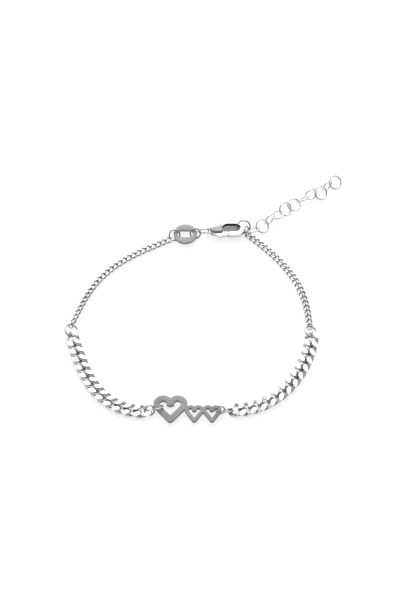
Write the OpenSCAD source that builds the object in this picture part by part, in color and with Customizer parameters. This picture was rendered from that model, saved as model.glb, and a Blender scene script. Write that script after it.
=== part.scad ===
// Chain bracelet laid out flat on a table, in millimetres.
// A pierced plate of three joined open hearts is at the front. A wide flat-cut curb
// chain leaves each end of it, then a fine curb chain. The left fine chain ends at a
// round slotted tag and a spring clasp. The hook of the clasp holds the end ring, which
// carries the right fine chain and the extension chain.
// X points right, Y away from the viewer and Z up. The table is z = 0.

/* [Wide chain] */
// Length along the chain from one wide link to the next
wide_pitch = 2.42; // [2.42:0.01:2.6]
// Width across a wide link
wide_w = 3.6; // [3.4:0.05:3.8]
// Thickness of a wide link between its flat-cut faces
wide_t = 1.4; // [1.1:0.05:1.9]
// Wire diameter of a wide link
wide_wire = 1; // [0.8:0.05:1]
// Height that its pressed wire keeps, as a share of the wire's diameter
wide_flat = 0.7; // [0.6:0.02:0.86]
// Turn of each end of a wide link about its length
wide_twist = -42; // [-50:1:-40]
// Squareness of a wide link's oval, where 2 is an ellipse
wide_square = 2.4; // [2:0.1:2.6]

/* [Fine chain] */
// Length along the chain from one fine link to the next
fine_pitch = 1.4; // [1.4:0.01:1.5]
// Width across a fine link
fine_w = 1.85; // [1.8:0.05:1.9]
// Thickness of a fine link between its flat-cut faces
fine_t = 0.9; // [0.8:0.05:1]
// Wire diameter of a fine link
fine_wire = 0.38; // [0.34:0.02:0.38]
// Height that its pressed wire keeps, as a share of the wire's diameter
fine_flat = 0.8; // [0.7:0.02:0.86]
// Turn of each end of a fine link about its length
fine_twist = -54; // [-55:1:-52]

/* [Plate] */
// Thickness of the plate
plate_t = 0.7; // [0.6:0.05:0.8]
// Width of the cut strokes of the large heart
big_stroke = 1.45; // [1.2:0.05:1.6]
// Width of the cut strokes of the two small hearts
small_stroke = 0.85; // [0.7:0.05:1]
// Height of the plate's underside above the table
plate_z = 0.6; // [0.5:0.05:0.8]

/* [Tag] */
// Outer diameter of the round tag
tag_od = 5.9; // [5.6:0.1:6.2]
// Length of the tag's slot
slot_l = 3.65; // [3.65:0.05:3.8]
// Width of the tag's slot
slot_w = 2.1; // [2:0.1:2.3]
// Corner radius of the tag's slot
slot_r = 0.7; // [0.4:0.05:0.8]
// Thickness of the tag
tag_t = 0.55; // [0.45:0.05:0.55]

/* [Clasp] */
// Thickness of the body of the clasp
body_t = 1.9; // [1.8:0.05:2.1]
// Thickness of the hook of the clasp
hook_t = 1.05; // [1:0.05:1.2]
// Thickness of the lever of the clasp
lever_t = 0.84; // [0.7:0.02:0.86]
// Diameter of the pin that the lever turns on
pin_d = 0.5; // [0.4:0.05:0.55]

/* [Rings] */
// Wire diameter of the jump rings
ring_wire = 0.38; // [0.3:0.02:0.38]
// Outer diameter of an extension ring
ext_od = 3.65; // [3.6:0.05:3.8]
// Wire diameter of an extension ring
ext_wire = 0.42; // [0.36:0.02:0.44]
// Distance between the middles of two extension rings
ext_pitch = 2.6; // [2.5:0.05:2.65]

/* [Hidden] */
// The layout's own zero is the middle of the space inside the loop. This shift puts
// the middle of the whole outline at zero.
shift = [-1.45, -0.72, 0];

// Each run of links: middle of its first link, headings along the run, rolls along the
// run and number of links. Headings and rolls are spread evenly. The rows are the wide
// chain on the left and right, then the fine chain on the left and right.
WIDE_LEFT = 0; WIDE_RIGHT = 1; FINE_LEFT = 2; FINE_RIGHT = 3;
RUNS = [
    [[-30.8, -12.2], [286, 289, 301, 327, 359],      [0, 0],                    13],
    [[8.7, -32.6],   [4, 31, 52, 67, 81],            [6, 6],                    13],
    [[-7.75, 18.3],  [207, 209, 219, 236, 248, 250], [0, 0, 0, 0, 15, 30, 45],  27],
    [[26.3, -8.2],   [93, 103, 119, 132, 137],       [-45, -30, -15, 0, 0, 0],  24],
];
RUN_START = 0; RUN_HEADINGS = 1; RUN_ROLLS = 2; RUN_COUNT = 3;

// Extension rings: heading from the ring before, lean about that heading, height
EXT_START = [13, 20.9];
EXT = [
    [0, 55, 1.17], [25, -53, 1.2], [43, 2, 1.83], [42, 68, 1.26],
    [40, -39, 1.47], [34, 110, 1.39], [34, 44, 1.65], [30, -8, 2.07],
    [21, -50, 1.49], [50, 2, 1.83], [38, -53, 1.19],
];

// Jump rings: name, two points opposite each other on the middle of the wire, and the
// lean of the ring about the line between them
JUMPS = [
    ["plate_ring_left_a",  [-13.1, -32.95, 0.85], [-10.9, -32.45, 1.1], -48],
    ["plate_ring_left_b",  [-11.4, -32.4, 1.1],   [-8.85, -31.6, 1.1],   47],
    ["plate_ring_right_a", [5.3, -32.9, 1.05],    [7.75, -32.7, 1],      48],
    ["plate_ring_right_b", [3.5, -32.65, 1.15],   [5.8, -32.95, 1.55],  -10],
    ["joint_ring_left",    [-31.05, -7.96, 0.95], [-31.26, -11.25, 0.84], 65],
    ["joint_ring_right",   [27.06, -11.55, 0.74], [26.2, -8.46, 1.02],   -65],
    ["tag_ring_left",      [-5.25, 19.9, 1.26],   [-7.6, 18.8, 0.71],    55],
    ["tag_ring_right",     [-2.55, 19.8, 0.95],   [-0.05, 19.9, 1.05],  -50],
    ["clasp_ring",         [-0.6, 20.1, 1.4],     [2, 20.4, 1.45],       20],
    ["end_ring",           [9.3, 22.05, 2.01],    [12.2, 21, 1.01],     -38],
    ["chain_ring",         [11.25, 21.3, 1.9],    [11.85, 19.85, 0.35],  48],
];
tag_mid = [-3.75, 19.6, 0.95];
// The clasp is drawn about the middle of its mouth
clasp_at = [7.7, 21.2, 1.15];

wide_a = (wide_pitch + wide_wire + 0.14) / 2;
fine_a = (fine_pitch + fine_wire + 0.22) / 2;
wide_b = (wide_w - wide_wire) / 2;
fine_b = (fine_w - fine_wire) / 2;

function two(i) = i < 10 ? str("0", i) : str(i);

// Value at the share u of a list whose entries are spread evenly
function spread(list, u) =
    let (last = len(list) - 1, s = min(max(u, 0), 1) * last, i = min(floor(s), last - 1))
    list[i] + (s - i) * (list[i + 1] - list[i]);

function unit(v) = v / norm(v);
function along(h) = [cos(h), sin(h)];

// Middles of n links from a start, each step one pitch along the spread headings
function walk(start, headings, n, pitch) =
    [for (i = 0, p = start; i < n;
          p = p + pitch * along(spread(headings, (i + 0.5) / (n - 1))), i = i + 1) p];

// Height of a rolled link's middle when its lowest edge is on the table
function lift(roll, b, wire, t) =
    t / 2 * cos(roll) + (b + 0.21 * wire) * abs(sin(roll));

// Places of a run's links: [x, y, z], heading and roll of each
function places(run, fine) =
    let (n = run[RUN_COUNT],
         xy = walk(run[RUN_START], run[RUN_HEADINGS], n, fine ? fine_pitch : wide_pitch))
    [for (i = [0:n - 1])
        let (u = i / (n - 1), roll = spread(run[RUN_ROLLS], u),
             z = fine ? lift(roll, fine_b, fine_wire, fine_t) : lift(roll, wide_b, wide_wire, wide_t))
        [[xy[i][0], xy[i][1], z], spread(run[RUN_HEADINGS], u), roll]];

PLACES = [for (side = [WIDE_LEFT:FINE_RIGHT]) places(RUNS[side], side >= FINE_LEFT)];

// Power of a cosine or sine that keeps its sign, for a squared oval
function signed_pow(v, e) = sign(v) * pow(abs(v), e);

// Centre line of a link: a squared oval, turned about its length in proportion to x
function oval(t, a, b, square, twist) =
    let (x = a * signed_pow(cos(t), 2 / square), y = b * signed_pow(sin(t), 2 / square),
         turn = twist * x / a)
    [x, y * cos(turn), y * sin(turn)];

// Wire section of radius 1 with six corners, pressed flat above and below
function section(flat) =
    let (c = sqrt(1 - flat * flat))
    [[1, 0], [c, flat], [-c, flat], [-1, 0], [-c, -flat], [c, -flat]];

// Points of an uncut link: wire sections along the centre line
function link_points(a, b, wire, flat, twist, square, steps) =
    [for (i = [0:steps - 1])
        let (s = 360 * (i + 0.5) / steps,
             p = oval(s, a, b, square, twist),
             tangent = unit(oval(s + 1, a, b, square, twist) - oval(s - 1, a, b, square, twist)),
             turn = twist * p[0] / a,
             side = unit(cross(tangent, [0, -sin(turn), cos(turn)])),
             up = cross(side, tangent))
        for (corner = section(flat)) p + wire / 2 * (corner[0] * side + corner[1] * up)];

// Triangles of a closed loop of wire sections
function loop_faces(steps, sides) =
    [for (i = [0:steps - 1], k = [0:sides - 1])
        let (j = (i + 1) % steps, l = (k + 1) % sides,
             p = i * sides + k, q = j * sides + k, r = j * sides + l, s = i * sides + l)
        each [[p, r, q], [p, s, r]]];

// One twisted, flat-cut curb link with its length along X
module curb_link(a, b, wire, flat, t, twist, square, steps) {
    intersection() {
        polyhedron(link_points(a, b, wire, flat, twist, square, steps),
                   loop_faces(steps, len(section(flat))), convexity = 4);
        cube([4 * a, 4 * b, t], center = true);
    }
}

// Carries its child from the link's own frame to its place in the run
module at_place(place) {
    translate(place[0]) rotate([place[2], 0, place[1]]) children();
}

module wide_link(side, i) {
    color("gainsboro") translate(shift) at_place(PLACES[side][i])
        curb_link(wide_a, wide_b, wide_wire, wide_flat, wide_t, wide_twist, wide_square, 14);
}

module fine_chain(side) {
    color("silver") translate(shift) for (place = PLACES[side]) at_place(place)
        curb_link(fine_a, fine_b, fine_wire, fine_flat, fine_t, fine_twist, 2, 10);
}

// Round wire ring with its middle at c, upright along a heading, then leaned about it
module ring(c, od, wire, heading, lean, pitch = 0) {
    translate(c) rotate([0, -pitch, heading]) rotate([90 + lean, 0, 0])
        rotate_extrude($fn = 48) translate([(od - wire) / 2, 0]) circle(d = wire, $fn = 20);
}

// Ring whose wire passes through the points p and q
module ring_between(p, q, lean) {
    d = q - p;
    color("silver") translate(shift)
        ring((p + q) / 2, norm(d) + ring_wire, ring_wire, atan2(d[1], d[0]), lean,
             asin(d[2] / norm(d)));
}

module jump_ring(name) {
    r = JUMPS[search([name], JUMPS)[0]];
    ring_between(r[1], r[2], r[3]);
}

// Points of an arc of radius r about c, from one angle to another
function arc(c, r, from, to, steps) =
    [for (i = [0:steps]) let (t = from + (to - from) * i / steps) c + r * along(t)];

// Closed outline from its right half, which starts and ends at x = 0
function mirrored(half) =
    concat(half, [for (i = [len(half) - 2:-1:1]) [-half[i][0], half[i][1]]]);

// Angle at which the straight side of a heart leaves its lobe, for a lobe of radius r at
// c and a point of radius q at -tip
function side_angle(r, c, tip, q) = atan2(-tip, -c) + acos((r - q) / norm([c, tip]));

// Outline of a heart with round lobes and a round point
function heart(r, c, tip, q) =
    let (turn = side_angle(r, c, tip, q))
    mirrored(concat(arc([c, 0], r, 180 - acos(c / r), turn, 24), arc([0, -tip], q, turn, -90, 6)));

// Outline of its opening, one stroke inside, with a sharp point and a low notch
function heart_opening(r, c, tip, q, stroke) =
    let (turn = side_angle(r, c, tip, q), notch = 0.3 * r)
    mirrored(concat([[0, -notch]], arc([c, 0], r - stroke, 180 + atan2(notch, c), turn, 24),
                    [[0, (q - stroke) / sin(turn) - tip]]));

// Hearts of the plate: middle, lobe radius, lobe spacing, point depth, point radius, stroke
HEARTS = [
    [[-7.1, -31], 2.3, 1.7, 4.3, 0.8, big_stroke],
    [[-1.45, -32.75], 1.3, 0.95, 2.75, 0.55, small_stroke],
    [[2.7, -32.75], 1.3, 0.95, 2.75, 0.55, small_stroke],
];

module centre_plate() {
    color("darkgray") translate(shift + [0, 0, plate_z]) difference() {
        union() for (h = HEARTS) translate(h[0])
            linear_extrude(plate_t) polygon(heart(h[1], h[2], h[3], h[4]));
        for (h = HEARTS) translate([h[0][0], h[0][1], -1])
            linear_extrude(plate_t + 2) polygon(heart_opening(h[1], h[2], h[3], h[4], h[5]));
    }
}

module tag() {
    color("silver") translate(shift + tag_mid - [0, 0, tag_t / 2])
        difference() {
            cylinder(d = tag_od, h = tag_t, $fn = 96);
            translate([0, 0, -1]) linear_extrude(tag_t + 2) {
                square([slot_l - 2 * slot_r, slot_w], center = true);
                square([slot_l, slot_w - 2 * slot_r], center = true);
                for (x = [-1, 1], y = [-1, 1])
                    translate([x * (slot_l / 2 - slot_r), y * (slot_w / 2 - slot_r)])
                        circle(slot_r, $fn = 32);
            }
        }
}

// The clasp seen from above, about the middle of its mouth. The mouth is a slot with
// round ends of radius mouth_r, which lie mouth_x to each side.
mouth_r = 1.24;
mouth_x = 0.96;
pivot = [-4.4, -1.05];
eye = [-5.75, -0.58];
eye_r = 0.52;
eye_od = 1.7;
eye_t = 0.8;
// Reach of the lever from the pivot, its width, and the gap round it
lever_reach = 3.72;
lever_w = 1.02;
lever_gap = 0.08;
lever_y = -mouth_r - lever_w / 2;

// Slope cut off the edges of the body of the clasp, above and below
body_slope = 0.35;

// Discs that are joined into the outline of a piece of the clasp: middle and radius
HOOK = [[[-0.7, 0], 2.3], [[0.95, 0], 2.35]];
NECK = [[[-5, -0.6], 0.5], [[-4.35, -0.8], 0.9]];
SHOULDER = [[[-4.35, -0.8], 0.9], [[-2.95, -0.7], 1], [[-2.75, 0], 0.6]];
LEVER_ROOT = [[pivot, 0.58], [[-3.1, lever_y], lever_w / 2]];
LEVER_ARM = [[[-3.1, lever_y], lever_w / 2], [[0, lever_y], lever_w / 2]];
THUMB = [[[-3.5, -1.9], 0.35], [[-2.6, -2.35], 0.3]];

// Upright prism about the clasp's own middle height
module slab(h) { translate([0, 0, -h / 2]) linear_extrude(h) children(); }
module disc(p, r) { translate(p) circle(r, $fn = 32); }
module joined(discs) { hull() for (d = discs) disc(d[0], d[1]); }

// Joined discs as a slab with sloping edges
module crowned(discs, h, slope) {
    hull() for (d = discs) {
        slab(h - 2 * slope) disc(d[0], d[1]);
        slab(h) disc(d[0], d[1] - slope);
    }
}
module reach(r) { translate(pivot) circle(r, $fn = 96); }

module mouth() {
    for (s = [-1, 1]) disc([s * mouth_x, 0], mouth_r);
    square([2 * mouth_x, 2 * mouth_r], center = true);
}

// Space that the lever needs at rest and open
module lever_sweep() {
    disc(pivot, 0.68);
    intersection() {
        reach(lever_reach + lever_gap);
        polygon([pivot + [-0.3, 0.6], pivot + [1.2, 0.62], pivot + [4, 1.75], pivot + [4, -2],
                 pivot + [0, -1.4]]);
    }
}

module clasp_body() {
    color("gainsboro") translate(shift + clasp_at) {
        difference() {
            union() {
                // Hook: a ring round the mouth, open where the lever closes it
                difference() {
                    slab(hook_t) joined(HOOK);
                    slab(hook_t + 1) intersection() {
                        reach(lever_reach + lever_gap);
                        translate([-6, -4]) square([12, 4 - mouth_r + 0.3]);
                    }
                }
                // Body: neck and shoulder
                crowned(NECK, body_t, body_slope);
                crowned(SHOULDER, body_t, body_slope);
                // Eye
                slab(eye_t) disc(eye, eye_od / 2);
            }
            slab(body_t + 1) mouth();
            slab(body_t + 1) disc(eye, eye_r);
            slab(lever_t + 0.12) lever_sweep();
        }
        // Pin
        translate([pivot[0], pivot[1], -body_t / 2 + 0.1]) cylinder(d = pin_d, h = body_t - 0.2, $fn = 24);
    }
}

module clasp_lever() {
    color("whitesmoke") translate(shift + clasp_at) difference() {
        slab(lever_t) {
            intersection() {
                union() {
                    joined(LEVER_ROOT);
                    joined(LEVER_ARM);
                }
                reach(lever_reach);
            }
            joined(THUMB);
        }
        translate([pivot[0], pivot[1], -2]) cylinder(d = pin_d + 0.1, h = 4, $fn = 24);
    }
}

// Middles of the extension rings, one pitch apart along their headings
function ext_xy(i) = i == 0 ? EXT_START : ext_xy(i - 1) + ext_pitch * along(EXT[i][0]);

module ext_ring(i) {
    p = ext_xy(i);
    heading = i < len(EXT) - 1 ? (EXT[i][0] + EXT[i + 1][0]) / 2 : EXT[i][0];
    color("silver") translate(shift) ring([p[0], p[1], EXT[i][2]], ext_od, ext_wire, heading, EXT[i][1]);
}

centre_plate();
for (i = [1:13]) wide_link(WIDE_LEFT, i - 1);
for (i = [1:13]) wide_link(WIDE_RIGHT, i - 1);
fine_chain(FINE_LEFT);  // fine_left
fine_chain(FINE_RIGHT);  // fine_right
for (r = JUMPS) jump_ring(r[0]);
tag();
clasp_body();
clasp_lever();
for (i = [1:11]) ext_ring(i - 1);
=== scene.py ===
"""Studio scene of a chain bracelet that lies flat: flat-cut curb links, fine curb chain,
jump rings, a pierced plate, a slotted tag, a spring clasp and an extension chain.
Lengths are written in millimetres in the layout's own frame, and go out in metres."""

import math

import bmesh
import bpy
import numpy as np
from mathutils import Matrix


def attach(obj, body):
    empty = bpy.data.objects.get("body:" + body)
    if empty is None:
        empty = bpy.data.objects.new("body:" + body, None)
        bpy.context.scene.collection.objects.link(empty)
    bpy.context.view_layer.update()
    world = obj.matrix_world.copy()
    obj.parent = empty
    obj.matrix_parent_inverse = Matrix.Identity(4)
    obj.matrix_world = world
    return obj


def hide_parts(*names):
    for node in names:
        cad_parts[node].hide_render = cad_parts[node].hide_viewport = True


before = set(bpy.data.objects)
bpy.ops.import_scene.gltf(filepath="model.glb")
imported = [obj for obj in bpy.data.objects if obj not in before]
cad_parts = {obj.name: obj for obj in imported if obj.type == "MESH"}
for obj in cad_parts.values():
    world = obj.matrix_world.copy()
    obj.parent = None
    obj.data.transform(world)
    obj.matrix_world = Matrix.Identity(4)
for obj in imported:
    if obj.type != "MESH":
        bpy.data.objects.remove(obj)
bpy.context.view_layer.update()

MM = 0.001
SHIFT = np.array([-1.45, -0.72, 0.0])  # from the layout's zero to the frame's zero

# Runs of links: middle of the first link, headings and rolls along the run, count
RUNS = {
    "wide_left": ([-30.8, -12.2], [286, 289, 301, 327, 359], [0, 0], 13),
    "wide_right": ([8.7, -32.6], [4, 31, 52, 67, 81], [6, 6], 13),
    "fine_left": ([-7.75, 18.3], [207, 209, 219, 236, 248, 250], [0, 0, 0, 0, 15, 30, 45], 27),
    "fine_right": ([26.3, -8.2], [93, 103, 119, 132, 137], [-45, -30, -15, 0, 0, 0], 24),
}
# Links: pitch, half length and half width of the centre line, wire, thickness, twist of
# the ends in degrees, squareness of the oval, height that the pressed wire keeps, share of
# the half width within which the hollows get painted shade, steps along the wire and round
# each end of its section, and the half width and wire that a rolled link rests on
WIDE = dict(pitch=2.42, a=1.78, b=1.30, wire=1.0, thick=1.4, twist=-42, square=2.4,
            flat=0.7, reach=0.6, steps=96, arc=15)
FINE = dict(pitch=1.40, a=1.00, b=0.72, wire=0.41, thick=0.9, twist=-54, square=2.0,
            flat=0.8, reach=1.0, steps=48, arc=7, rest=(0.735, 0.38))

RINGS = [
    "plate_ring_left_a", "plate_ring_left_b", "plate_ring_right_a", "plate_ring_right_b",
    "joint_ring_left", "joint_ring_right", "tag_ring_left", "tag_ring_right",
    "clasp_ring", "end_ring", "chain_ring",
] + [f"ext_ring_{i:02d}" for i in range(1, 12)]
RING_SIDES = 20  # round the wire
RING_STEPS = 84  # along the wire, apart from the seam
SEAM_STEPS = [-0.05, -0.022, -0.008, 0, 0.008, 0.022, 0.05]  # angles beside the seam
SEAM_WIDTH, SEAM_DEPTH = 0.012, 0.07  # angle, and share of the wire's radius

CLASP_AT = np.array([7.7, 21.2, 1.15])  # middle of the clasp's mouth
PIVOT = np.array([-4.4, -1.05, 0.0])  # the lever's pin, from the middle of the mouth
PIN_TOP = 0.93  # height of the pin's head above the middle of the mouth
TIP_RADIUS = 3.76  # from the pin to the split between the lever and the hook's tip
MOUTH_HALF, MOUTH_RADIUS = 0.96, 1.27  # half of the slot's middle line, and its round ends
BROKEN_EDGE = 0.07  # width of the broken edges of the plate and the tag

LOOK_AT = SHIFT * MM
ELEVATION = math.radians(54)
DISTANCE = 0.6


# Shader maths


class Value:
    """A socket that takes part in Python arithmetic: each operation adds a Math node."""

    def __init__(self, tree, socket):
        self.tree, self.socket = tree, socket

    def math(self, operation, *others):
        return self.tree.node("ShaderNodeMath", {"operation": operation}, self, *others)

    def __add__(self, other):
        return self.math("ADD", other)

    __radd__ = __add__

    def __sub__(self, other):
        return self.math("SUBTRACT", other)

    def __rsub__(self, other):
        return self.tree.node("ShaderNodeMath", {"operation": "SUBTRACT"}, other, self)

    def __mul__(self, other):
        return self.math("MULTIPLY", other)

    __rmul__ = __mul__

    def step(self, low, high):
        """0 below low, 1 above high, and an S curve between them."""
        return self.tree.node(
            "ShaderNodeMapRange", {"interpolation_type": "SMOOTHSTEP"},
            Value=self, **{"From Min": low, "From Max": high},
        )


class Tree:
    """The node tree of a material or a world."""

    def __init__(self, owner):
        owner.use_nodes = True
        self.tree = owner.node_tree
        self.tree.nodes.clear()

    def node(self, kind, settings=None, *inputs, out=0, **named):
        """Adds a node, sets it, then fills its sockets by order and by name."""
        node = self.tree.nodes.new(kind)
        for key, value in (settings or {}).items():
            setattr(node, key, value)
        for key, value in [*enumerate(inputs), *named.items()]:
            if isinstance(value, Value):
                self.tree.links.new(value.socket, node.inputs[key])
            else:
                node.inputs[key].default_value = value
        return Value(self, node.outputs[out]) if node.outputs else node

    def place(self):
        return self.node("ShaderNodeTexCoord", out="Object")

    def blend(self, factor, one, other):
        """Colour that goes from one to other."""
        one, other = [c if isinstance(c, Value) else (*c, 1) for c in (one, other)]
        return self.node("ShaderNodeMix", {"data_type": "RGBA"}, Factor=factor, A=one, B=other,
                         out="Result")

    def noise(self, where, size, detail=2.0, stretch=(1, 1, 1)):
        """Noise from 0 to 1 with features of about size in millimetres."""
        scaled = self.node("ShaderNodeVectorMath", {"operation": "MULTIPLY"}, where, stretch)
        return self.node(
            "ShaderNodeTexNoise", None, Vector=scaled, Scale=1 / (size * MM), Detail=detail
        )

    def metal(self, colour, rough, lift, depth, strength):
        """Surface of bare metal, with lift from 0 to 1 raised by depth in millimetres."""
        normal = self.node("ShaderNodeBump", None, Strength=strength, Distance=depth * MM,
                           Height=lift)
        surface = self.node("ShaderNodeBsdfPrincipled", None, Metallic=1.0, Roughness=rough,
                            Normal=normal, **{"Base Color": colour})
        self.node("ShaderNodeOutputMaterial", None, surface)


def new_material(name):
    material = bpy.data.materials.new(name)
    tree = Tree(material)
    return material, tree, tree.place()


def shaded(colour, share):
    """The colour at a share of its brightness."""
    return [c * share for c in colour]


def polished(name, colour, rough, hollow_shade=0.0):
    """Plated silver with slow cloudy changes and fine rubbing marks in two directions.

    Where a link's attribute recess is above 0 it is rougher, and its colour is darkened by
    the given share: painted shade in the hollows between links.
    """
    material, t, where = new_material(name)
    recess = t.node("ShaderNodeAttribute", {"attribute_name": "recess"}, out="Fac")
    cloud = t.noise(where, size=0.9, detail=3.0)
    streak = t.noise(where, size=0.05, stretch=(1, 0.12, 0.5))
    rub = t.noise(where, size=0.07, stretch=(0.1, 1, 0.5))
    clean = t.blend(cloud.step(0.35, 0.75), colour, shaded(colour, 0.93))
    t.metal(
        # Painted shade: in the hollows the colour goes towards about a fifth of its brightness
        colour=t.blend(recess * hollow_shade, clean, shaded(colour, 0.22)),
        rough=rough + cloud * 0.06 + streak * 0.04 + recess * 0.12,
        lift=streak * 0.5 + rub * 0.5, depth=0.0008, strength=0.35,
    )
    return material


def satin(name, colour, rough):
    """Brushed satin silver: a fine even grain with short strokes and slight clouding."""
    material, t, where = new_material(name)
    cloud = t.noise(where, size=2.2, detail=3.0)
    grain = t.noise(where, size=0.035, detail=3.0, stretch=(0.18, 1, 1))
    speck = t.noise(where, size=0.06, detail=1.0)
    worn = cloud.step(0.3, 0.8) * 0.6 + grain * 0.3
    t.metal(
        colour=t.blend(worn, colour, shaded(colour, 0.86)),
        rough=rough + cloud * 0.08 + grain * 0.05,
        lift=grain + speck * 0.4, depth=0.003, strength=0.5,
    )
    return material


def from_mouth(t, offset=(0, 0, 0)):
    """Coordinates in millimetres from a point beside the middle of the clasp's mouth."""
    middle = tuple((CLASP_AT + SHIFT + offset) * MM)
    local = t.node("ShaderNodeVectorMath", {"operation": "SUBTRACT"}, t.place(), middle)
    return [t.node("ShaderNodeSeparateXYZ", None, local, out=axis) * (1 / MM) for axis in "XYZ"]


def length(x, y):
    return (x * x + y * y).math("SQRT")


def slot_distance(x, y):
    """Distance from the middle line of the mouth, which is a slot with round ends."""
    return length((x.math("ABSOLUTE") - MOUTH_HALF).math("MAXIMUM", 0), y)


def cast_clasp(name, colour):
    """Cast silver of the clasp, by places measured from the middle of its mouth.

    The top of the body between the eye and the hook gets a brush finish, which is rougher,
    and is painted greyer, a painted dimmer reflection. The sides are painted darker towards
    the underside, painted shade near the table. The far wall of the mouth and the split
    between the lever and the hook's tip are rougher and painted nearly black: painted shade.
    """
    material, t, where = new_material(name)
    x, y, z = from_mouth(t)
    cloud = t.noise(where, size=0.9, detail=3.0)
    grain = t.noise(where, size=0.05, stretch=(0.2, 1, 1))
    # Painted shade: the far wall of the mouth and the split by the lever are painted nearly black
    far_side = y.step(-0.9, -0.5)
    wall = (1 - slot_distance(x, y).step(MOUTH_RADIUS, MOUTH_RADIUS + 0.13)) * far_side
    from_pin = length(x - float(PIVOT[0]), y - float(PIVOT[1]))
    near_edge = 1 - y.step(-1.2, -1.0)
    split = (1 - (from_pin - TIP_RADIUS).math("ABSOLUTE").step(0.06, 0.16)) * near_edge
    mouth_and_split_shade = wall.math("MAXIMUM", split)
    # Painted shade: the sides get darker towards the underside, near the table
    low = 1 - z.step(-0.45, 0.1)
    # Brush finish on the top of the body: rougher, and painted greyer, a painted dimmer reflection
    brushed_and_grey_painted = x.step(-5.9, -5.5) * (1 - x.step(-2.4, -2.0)) * z.step(0.3, 0.6)
    worked = t.blend(brushed_and_grey_painted, colour, shaded(colour, 0.5))
    # All the painted shade of the clasp, which darkens the colour nearly to black
    painted_shade = mouth_and_split_shade.math("MAXIMUM", low * 0.6)
    t.metal(
        colour=t.blend(painted_shade * 0.95, worked, shaded(colour, 0.03)),
        rough=0.14 + cloud * 0.06 + brushed_and_grey_painted * 0.5 + mouth_and_split_shade * 0.2,
        lift=grain, depth=0.001, strength=0.35,
    )
    return material


# Finishes: the materials of a piece, and the record's slot that it takes
CUT = polished("cut_silver", (0.82, 0.82, 0.825), 0.06)
LINK_SILVER = (polished("link_silver", (0.74, 0.74, 0.745), 0.12, 0.5), CUT, "polished_silver")
CHAIN_SILVER = (polished("chain_silver", (0.6, 0.6, 0.605), 0.15, 0.6), CUT, "polished_silver")
RING_SILVER = (polished("ring_silver", (0.76, 0.76, 0.765), 0.10), "polished_silver")
# A darker copy of the ring silver: painted shade on the rings among the other parts
SHADED_RING_SILVER = (polished("shaded_ring_silver", (0.5, 0.5, 0.505), 0.16), "polished_silver")
CLASP_SILVER = (cast_clasp("clasp_silver", (0.74, 0.74, 0.745)), "polished_silver")
PLATE_SILVER = (satin("plate_silver", (0.36, 0.36, 0.363), 0.7), "satin_silver")
TAG_SILVER = (satin("tag_silver", (0.4, 0.4, 0.403), 0.68), "satin_silver")


# Mesh helpers


def unit(v):
    return v / np.linalg.norm(v, axis=-1, keepdims=True)


def turned(points, roll, heading):
    """Points turned about X by roll, then about Z by heading, in degrees."""
    r, h = math.radians(roll), math.radians(heading)
    about_x = np.array([[1, 0, 0], [0, math.cos(r), -math.sin(r)], [0, math.sin(r), math.cos(r)]])
    about_z = np.array([[math.cos(h), -math.sin(h), 0], [math.sin(h), math.cos(h), 0], [0, 0, 1]])
    return points @ (about_z @ about_x).T


def loop_faces(rows, cols):
    """Quads of a grid of rows x cols that closes on itself both ways."""
    i, j = np.meshgrid(np.arange(rows), np.arange(cols), indexing="ij")
    i2, j2 = (i + 1) % rows, (j + 1) % cols
    quads = np.stack([i * cols + j, i2 * cols + j, i2 * cols + j2, i * cols + j2], -1)
    return quads.reshape(-1, 4)


def outward(points, quads):
    """The quads, turned round if the volume that they enclose comes out negative."""
    p, q, r, s = (points[quads[:, k]] for k in range(4))
    volume = np.einsum("ij,ij->", p, np.cross(q, r)) + np.einsum("ij,ij->", p, np.cross(r, s))
    return quads if volume > 0 else quads[:, ::-1]


def mesh_points(mesh):
    flat = np.empty(len(mesh.vertices) * 3)
    mesh.vertices.foreach_get("co", flat)
    return flat.reshape(-1, 3)


def scale_mesh(mesh, factor):
    mesh.vertices.foreach_set("co", (mesh_points(mesh) * factor).ravel())
    mesh.update()


def smooth(mesh, sharp):
    """Smooth shading, with edges sharper than an angle in degrees kept hard."""
    mesh.polygons.foreach_set("use_smooth", np.ones(len(mesh.polygons), bool))
    if sharp:
        mesh.set_sharp_from_angle(angle=math.radians(sharp))


def add_piece(name, points_mm, faces, finish, nodes=(), sharp=None):
    """Makes a mesh object from points in the layout's millimetres, and dresses it."""
    mesh = bpy.data.meshes.new(name)
    points = (np.asarray(points_mm) + SHIFT) * MM
    mesh.from_pydata(points.tolist(), [], faces if isinstance(faces, list) else faces.tolist())
    smooth(mesh, sharp)
    mesh.update()
    return dress(name, mesh, finish, nodes)


def dress(name, mesh, finish, nodes, body="bracelet"):
    """Puts a mesh into the scene as a piece, with its materials, body and CAD nodes."""
    piece = bpy.data.objects.new(name, mesh)
    *materials, slot = finish
    mesh.materials.clear()
    for material in materials:
        mesh.materials.append(material)
    bpy.context.scene.collection.objects.link(piece)
    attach(piece, body)
    if nodes:
        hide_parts(*nodes)
    return piece


# Curb links


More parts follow.
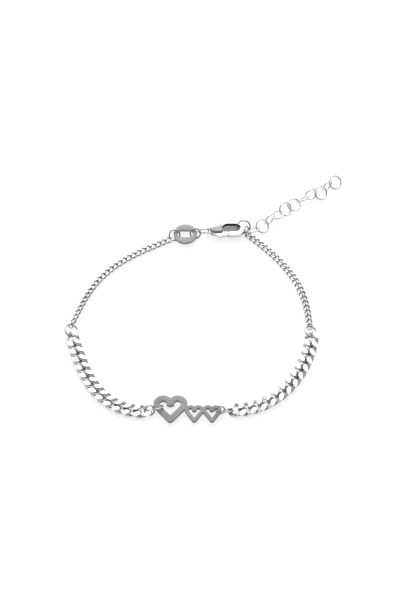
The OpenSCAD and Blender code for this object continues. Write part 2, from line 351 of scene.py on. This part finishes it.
def uncut_link(a, b, wire, flat, twist, square, steps, arc):
    """Points of an uncut curb link, and their faces.

    Centre line: the squared oval x = a cos^(2/s), y = b sin^(2/s), spaced evenly along
    its length and turned about X by twist * x / a. Section, square to the line: a circle
    of radius wire / 2, pressed flat at flat times that radius above and below.
    """
    t = np.linspace(0, 2 * np.pi, 2881)
    x = a * np.sign(np.cos(t)) * np.abs(np.cos(t)) ** (2 / square)
    y = b * np.sign(np.sin(t)) * np.abs(np.sin(t)) ** (2 / square)
    turn = np.radians(twist) * x / a
    line = np.stack([x, y * np.cos(turn), y * np.sin(turn), turn], -1)
    run = np.concatenate([[0], np.cumsum(np.linalg.norm(np.diff(line[:, :3], axis=0), axis=1))])
    even = run[-1] * (np.arange(steps) + 0.5) / steps
    line = np.stack([np.interp(even, run, line[:, k]) for k in range(4)], -1)
    p, turn = line[:, :3], line[:, 3]
    tangent = unit(np.roll(p, -1, 0) - np.roll(p, 1, 0))
    side = unit(np.cross(tangent, np.stack([0 * turn, -np.sin(turn), np.cos(turn)], -1)))
    up = np.cross(side, tangent)
    q = math.asin(flat)
    w = np.linspace(-q, q, arc)
    across = np.cos(q) * np.array([0.5, 0, -0.5])
    u = np.concatenate([np.cos(w), across, -np.cos(w), -across]) * wire / 2
    v = np.concatenate([np.sin(w), flat + 0 * across, -np.sin(w), -flat + 0 * across]) * wire / 2
    points = p[:, None] + u[None, :, None] * side[:, None] + v[None, :, None] * up[:, None]
    points = points.reshape(-1, 3)
    return points, outward(points, loop_faces(steps, len(u)))


def cut_link(thick, reach, **shape):
    """Mesh of one link in millimetres, cut level above and below; cuts take material 2."""
    points, faces = uncut_link(**shape)
    mesh = bpy.data.meshes.new("link")
    mesh.from_pydata(points.tolist(), [], faces.tolist())
    work = bmesh.new()
    work.from_mesh(mesh)
    for z in (1, -1):
        everything = work.verts[:] + work.edges[:] + work.faces[:]
        bmesh.ops.bisect_plane(work, geom=everything, dist=1e-6, clear_outer=True,
                               plane_co=(0, 0, z * thick / 2), plane_no=(0, 0, z))
        rim = [edge for edge in work.edges if edge.is_boundary]
        for face in bmesh.ops.holes_fill(work, edges=rim)["faces"]:
            face.material_index = 1
    bmesh.ops.dissolve_degenerate(work, dist=1e-5, edges=work.edges)
    bmesh.ops.recalc_face_normals(work, faces=work.faces)
    work.to_mesh(mesh)
    work.free()
    smooth(mesh, 20)
    mark_recess(mesh, hollow(mesh_points(mesh), shape["b"], thick, reach))
    return mesh


def mark_recess(mesh, values):
    mesh.attributes.new("recess", "FLOAT", "POINT").data.foreach_set("value", values)


def hollow(points, b, thick, reach):
    """1 in the hollows between two links, 0 on the flat cuts and along the outer edges."""
    _, y, z = np.abs(points).T
    deep = np.clip((thick / 2 - z) / (0.12 * thick), 0, 1)
    inside = np.clip((reach * b - y) / (0.3 * b), 0, 1)
    return (deep * inside).astype(np.float32)


def run_places(start, headings, rolls, count, pitch, b, wire, thick):
    """Middle, roll and heading of each link of a run.

    Headings and rolls are spread evenly along the run, each step is one pitch along the
    heading half way between two links, and a rolled link's lowest edge is on the table.
    """
    def spread(values, at):
        return np.interp(np.clip(at, 0, 1) * (len(values) - 1), np.arange(len(values)), values)

    i = np.arange(count)
    heading = np.radians(spread(headings, (i[:-1] + 0.5) / (count - 1)))
    steps = pitch * np.stack([np.cos(heading), np.sin(heading)], -1)
    xy = np.array(start) + np.concatenate([[[0, 0]], np.cumsum(steps, 0)])
    roll = spread(rolls, i / (count - 1))
    lean = np.radians(roll)
    z = thick / 2 * np.cos(lean) + (b + 0.21 * wire) * np.abs(np.sin(lean))
    return np.column_stack([xy, z]), roll, spread(headings, i / (count - 1))


def link_places(name, kind):
    rest = kind.get("rest", (kind["b"], kind["wire"]))
    return list(zip(*run_places(*RUNS[name], kind["pitch"], *rest, kind["thick"])))


def prototype(kind):
    return cut_link(**{key: value for key, value in kind.items() if key not in ("pitch", "rest")})


def wide_chain(name, link):
    """The thirteen wide links of one side, each a piece of its own."""
    points = mesh_points(link)
    for i, (middle, roll, heading) in enumerate(link_places(name, WIDE), 1):
        node = f"{name}_{i:02d}"
        mesh = link.copy()
        mesh.name = node + "_cut"
        placed = (turned(points, roll, heading) + middle + SHIFT) * MM
        mesh.vertices.foreach_set("co", placed.ravel())
        mesh.update()
        dress(mesh.name, mesh, LINK_SILVER, [node])


def fine_chain(name, link):
    """A whole fine chain as one piece of separate links."""
    points = mesh_points(link)
    faces = [list(face.vertices) for face in link.polygons]
    cut = [face.material_index for face in link.polygons]
    places = link_places(name, FINE)
    all_points = np.concatenate([turned(points, r, h) + m for m, r, h in places])
    all_faces = [[v + k * len(points) for v in face] for k in range(len(places)) for face in faces]
    piece = add_piece(name + "_links", all_points, all_faces, CHAIN_SILVER, nodes=[name], sharp=28)
    piece.data.polygons.foreach_set("material_index", np.tile(cut, len(places)).astype(np.int32))
    recess = hollow(points, FINE["b"], FINE["thick"], FINE["reach"])
    mark_recess(piece.data, np.tile(recess, len(places)))


# Rings


def wire_ring(node, seam_at):
    """A closed jump ring: a circle of radius R swept by a circle of radius r.

    R, r, the middle and the axis are those of the CAD ring. At the angle seam_at the wire
    is a few hundredths thinner, where its two ends meet. The rings that the links, the tag
    and the clasp hang on take a darker copy of the silver than those of the extension:
    painted shade.
    """
    corners = mesh_points(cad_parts[node].data)
    corners = np.unique(np.round(corners / MM, 5), axis=0) - SHIFT
    centre = corners.mean(0)
    axes = np.linalg.svd(corners - centre, full_matrices=False)[2]
    across = np.linalg.norm((corners - centre) @ axes[:2].T, axis=1)
    wide, narrow = across.max(), across.min()
    big, small = (wide + narrow) / 2, (wide - narrow) / 2
    first, last = SEAM_STEPS[0], SEAM_STEPS[-1]
    rest = last + (2 * np.pi + first - last) * np.arange(1, RING_STEPS) / RING_STEPS
    u = (seam_at + np.concatenate([SEAM_STEPS, rest]))[:, None]
    v = np.linspace(0, 2 * np.pi, RING_SIDES, endpoint=False)[None]
    r = small * (1 - SEAM_DEPTH * np.exp(-(((u - seam_at) / SEAM_WIDTH) ** 2)))
    out = big + r * np.cos(v)
    points = (centre + (out * np.cos(u))[..., None] * axes[0]
              + (out * np.sin(u))[..., None] * axes[1] + (r * np.sin(v))[..., None] * axes[2])
    points = points.reshape(-1, 3)
    faces = outward(points, loop_faces(u.size, RING_SIDES))
    finish = RING_SILVER if node.startswith("ext_ring") else SHADED_RING_SILVER
    add_piece(node + "_wire", points, faces, finish, nodes=[node])


# Plate, tag and clasp


def finished_copy(node, name, finish, modifiers, body="bracelet", sharp=None):
    """A copy of a CAD node, merged and worked in millimetres by modifiers.

    modifiers is a list of (type, settings). The object is finished at the origin.
    """
    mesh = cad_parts[node].data.copy()
    scale_mesh(mesh, 1 / MM)
    work = bmesh.new()
    work.from_mesh(mesh)
    bmesh.ops.remove_doubles(work, verts=work.verts, dist=0.002)
    work.to_mesh(mesh)
    work.free()
    rough = bpy.data.objects.new(name + "_work", mesh)
    bpy.context.scene.collection.objects.link(rough)
    for kind, settings in modifiers:
        modifier = rough.modifiers.new(kind.lower(), kind)
        for key, value in settings.items():
            setattr(modifier, key, value)
    graph = bpy.context.evaluated_depsgraph_get()
    done = bpy.data.meshes.new_from_object(rough.evaluated_get(graph))
    bpy.data.objects.remove(rough)
    scale_mesh(done, MM)
    done.name = name
    smooth(done, sharp)
    return dress(name, done, finish, [node], body)


def edge(width):
    """Modifier that breaks the sharp edges by a width in millimetres."""
    return ("BEVEL", dict(width=width, segments=2, limit_method="ANGLE",
                          angle_limit=math.radians(40)))


def cast(voxel, rounds):
    """Modifiers that melt a block into a cast shape: a voxel skin, then smoothing."""
    return [("REMESH", dict(mode="VOXEL", voxel_size=voxel)),
            ("SMOOTH", dict(factor=0.5, iterations=rounds))]


def rivet(name, at, radius, height, sides=48):
    """A low rivet head turned from a profile: a flat rim, a groove and a shallow dome."""
    r = radius * np.array([1.0, 1.0, 0.93, 0.84, 0.78, 0.66, 0.5, 0.3, 0.12, 0.02])
    z = height * np.array([-2.0, 0.25, 0.45, 0.3, 0.15, 0.75, 0.95, 1.05, 1.1, 1.1])
    u = np.linspace(0, 2 * np.pi, sides, endpoint=False)
    points = np.stack([np.outer(r, np.cos(u)), np.outer(r, np.sin(u)), np.outer(z, 1 + 0 * u)], -1)
    points = points.reshape(-1, 3)
    i, j = np.meshgrid(np.arange(len(r) - 1), np.arange(sides), indexing="ij")
    k = (j + 1) % sides
    quads = np.stack([i * sides + j, i * sides + k, (i + 1) * sides + k, (i + 1) * sides + j], -1)
    top = list(range((len(r) - 1) * sides, len(r) * sides))
    faces = quads.reshape(-1, 4).tolist() + [top, list(range(sides))[::-1]]
    return add_piece(name, points + at, faces, CLASP_SILVER, sharp=40)


wide_link, fine_link = prototype(WIDE), prototype(FINE)
for chain in ("wide_left", "wide_right"):
    wide_chain(chain, wide_link)
for chain in ("fine_left", "fine_right"):
    fine_chain(chain, fine_link)
for k, ring_name in enumerate(RINGS):
    wire_ring(ring_name, seam_at=0.9 + 1.7 * k)

finished_copy("centre_plate", "centre_plate_satin", PLATE_SILVER, [edge(BROKEN_EDGE)], sharp=35)
finished_copy("tag", "tag_satin", TAG_SILVER, [edge(BROKEN_EDGE)], sharp=35)
finished_copy("clasp_body", "clasp_body_cast", CLASP_SILVER, cast(0.05, 9))
finished_copy("clasp_lever", "clasp_lever_cast", CLASP_SILVER, cast(0.035, 9), body="lever")
rivet("clasp_rivet", CLASP_AT + PIVOT + [0, 0, PIN_TOP], radius=0.3, height=0.05)


# Floor, light and camera


def studio_floor(half=3, below=2e-5):
    """A white table top that also glows, so that its shadows stay faint.

    Under the mouth of the clasp, where little light gets in, both are painted down to grey:
    a painted shadow. The painted grey spot lies a little behind the mouth, where the camera
    looks through it.
    """
    mesh = bpy.data.meshes.new("floor")
    corners = [(-half, -half), (half, -half), (half, half), (-half, half)]
    mesh.from_pydata([(*corner, -below) for corner in corners], [], [(0, 1, 2, 3)])
    material = bpy.data.materials.new("table_white")
    t = Tree(material)
    x, y, _ = from_mouth(t, [0, 0.85, -CLASP_AT[2]])
    # Painted shadow on the table under the clasp's mouth
    shade = 1 - slot_distance(x, y).step(1.05, 1.45)
    surface = t.node(
        "ShaderNodeBsdfPrincipled", None,
        Roughness=1.0,
        **{"Base Color": t.blend(shade, (0.25, 0.25, 0.251), (0.2, 0.2, 0.2)),
           "Specular IOR Level": 0.0,
           "Emission Color": t.blend(shade, (0.79, 0.79, 0.79), (0.22, 0.22, 0.22)),
           "Emission Strength": 1.0},
    )
    t.node("ShaderNodeOutputMaterial", None, surface)
    mesh.materials.append(material)
    floor = bpy.data.objects.new("floor", mesh)
    bpy.context.scene.collection.objects.link(floor)


def studio_light():
    """A wide soft light high behind the object, a pale dome, and a dark camera side.

    The brightness depends on the direction alone, so the table is lit evenly.
    """
    world = bpy.data.worlds.new("studio")
    bpy.context.scene.world = world
    t = Tree(world)
    way = t.node("ShaderNodeTexCoord", out="Generated")

    def towards(x, y, z):
        """Cosine of the angle from a direction."""
        direction = tuple(unit(np.array([x, y, z])))
        return t.node("ShaderNodeVectorMath", {"operation": "DOT_PRODUCT"}, way, direction,
                      out="Value")

    def disc(centre, outer, inner):
        """1 within inner degrees of a direction, and 0 outside outer degrees of it."""
        return towards(*centre).step(math.cos(math.radians(outer)), math.cos(math.radians(inner)))

    height = towards(0, 0, 1)
    soft = disc((-0.05, 0.62, 0.78), 36, 27)
    left = disc((-0.95, 0.2, 0.25), 45, 30)
    paper = towards(0, 1, 0).step(0.2, 0.6) * (1 - height.step(0.25, 0.5))
    front = towards(-0.2, -1, 0.2).step(0.6, 0.8)
    bright = paper.math("MAXIMUM", left * 0.7)
    light = 0.42 * (1 - front * 0.85) + bright * 0.8 + soft * 3.0
    sky = t.node("ShaderNodeBackground", None, Color=(1, 1, 1, 1), Strength=light)
    t.node("ShaderNodeOutputWorld", None, sky)


def studio_camera():
    """Looks down at the middle of the loop from the front."""
    camera = bpy.data.cameras.new("camera")
    camera.lens, camera.sensor_width, camera.sensor_fit = 147.4, 36.0, "AUTO"
    camera.clip_start, camera.clip_end = 0.01, 20
    eye = bpy.data.objects.new("camera", camera)
    back = np.array([0, -math.cos(ELEVATION), math.sin(ELEVATION)])
    eye.location = LOOK_AT + DISTANCE * back
    eye.rotation_euler = (math.pi / 2 - ELEVATION, 0, 0)
    bpy.context.scene.collection.objects.link(eye)
    bpy.context.scene.camera = eye


studio_floor()
studio_light()
studio_camera()
bpy.context.scene.view_settings.view_transform = "Standard"
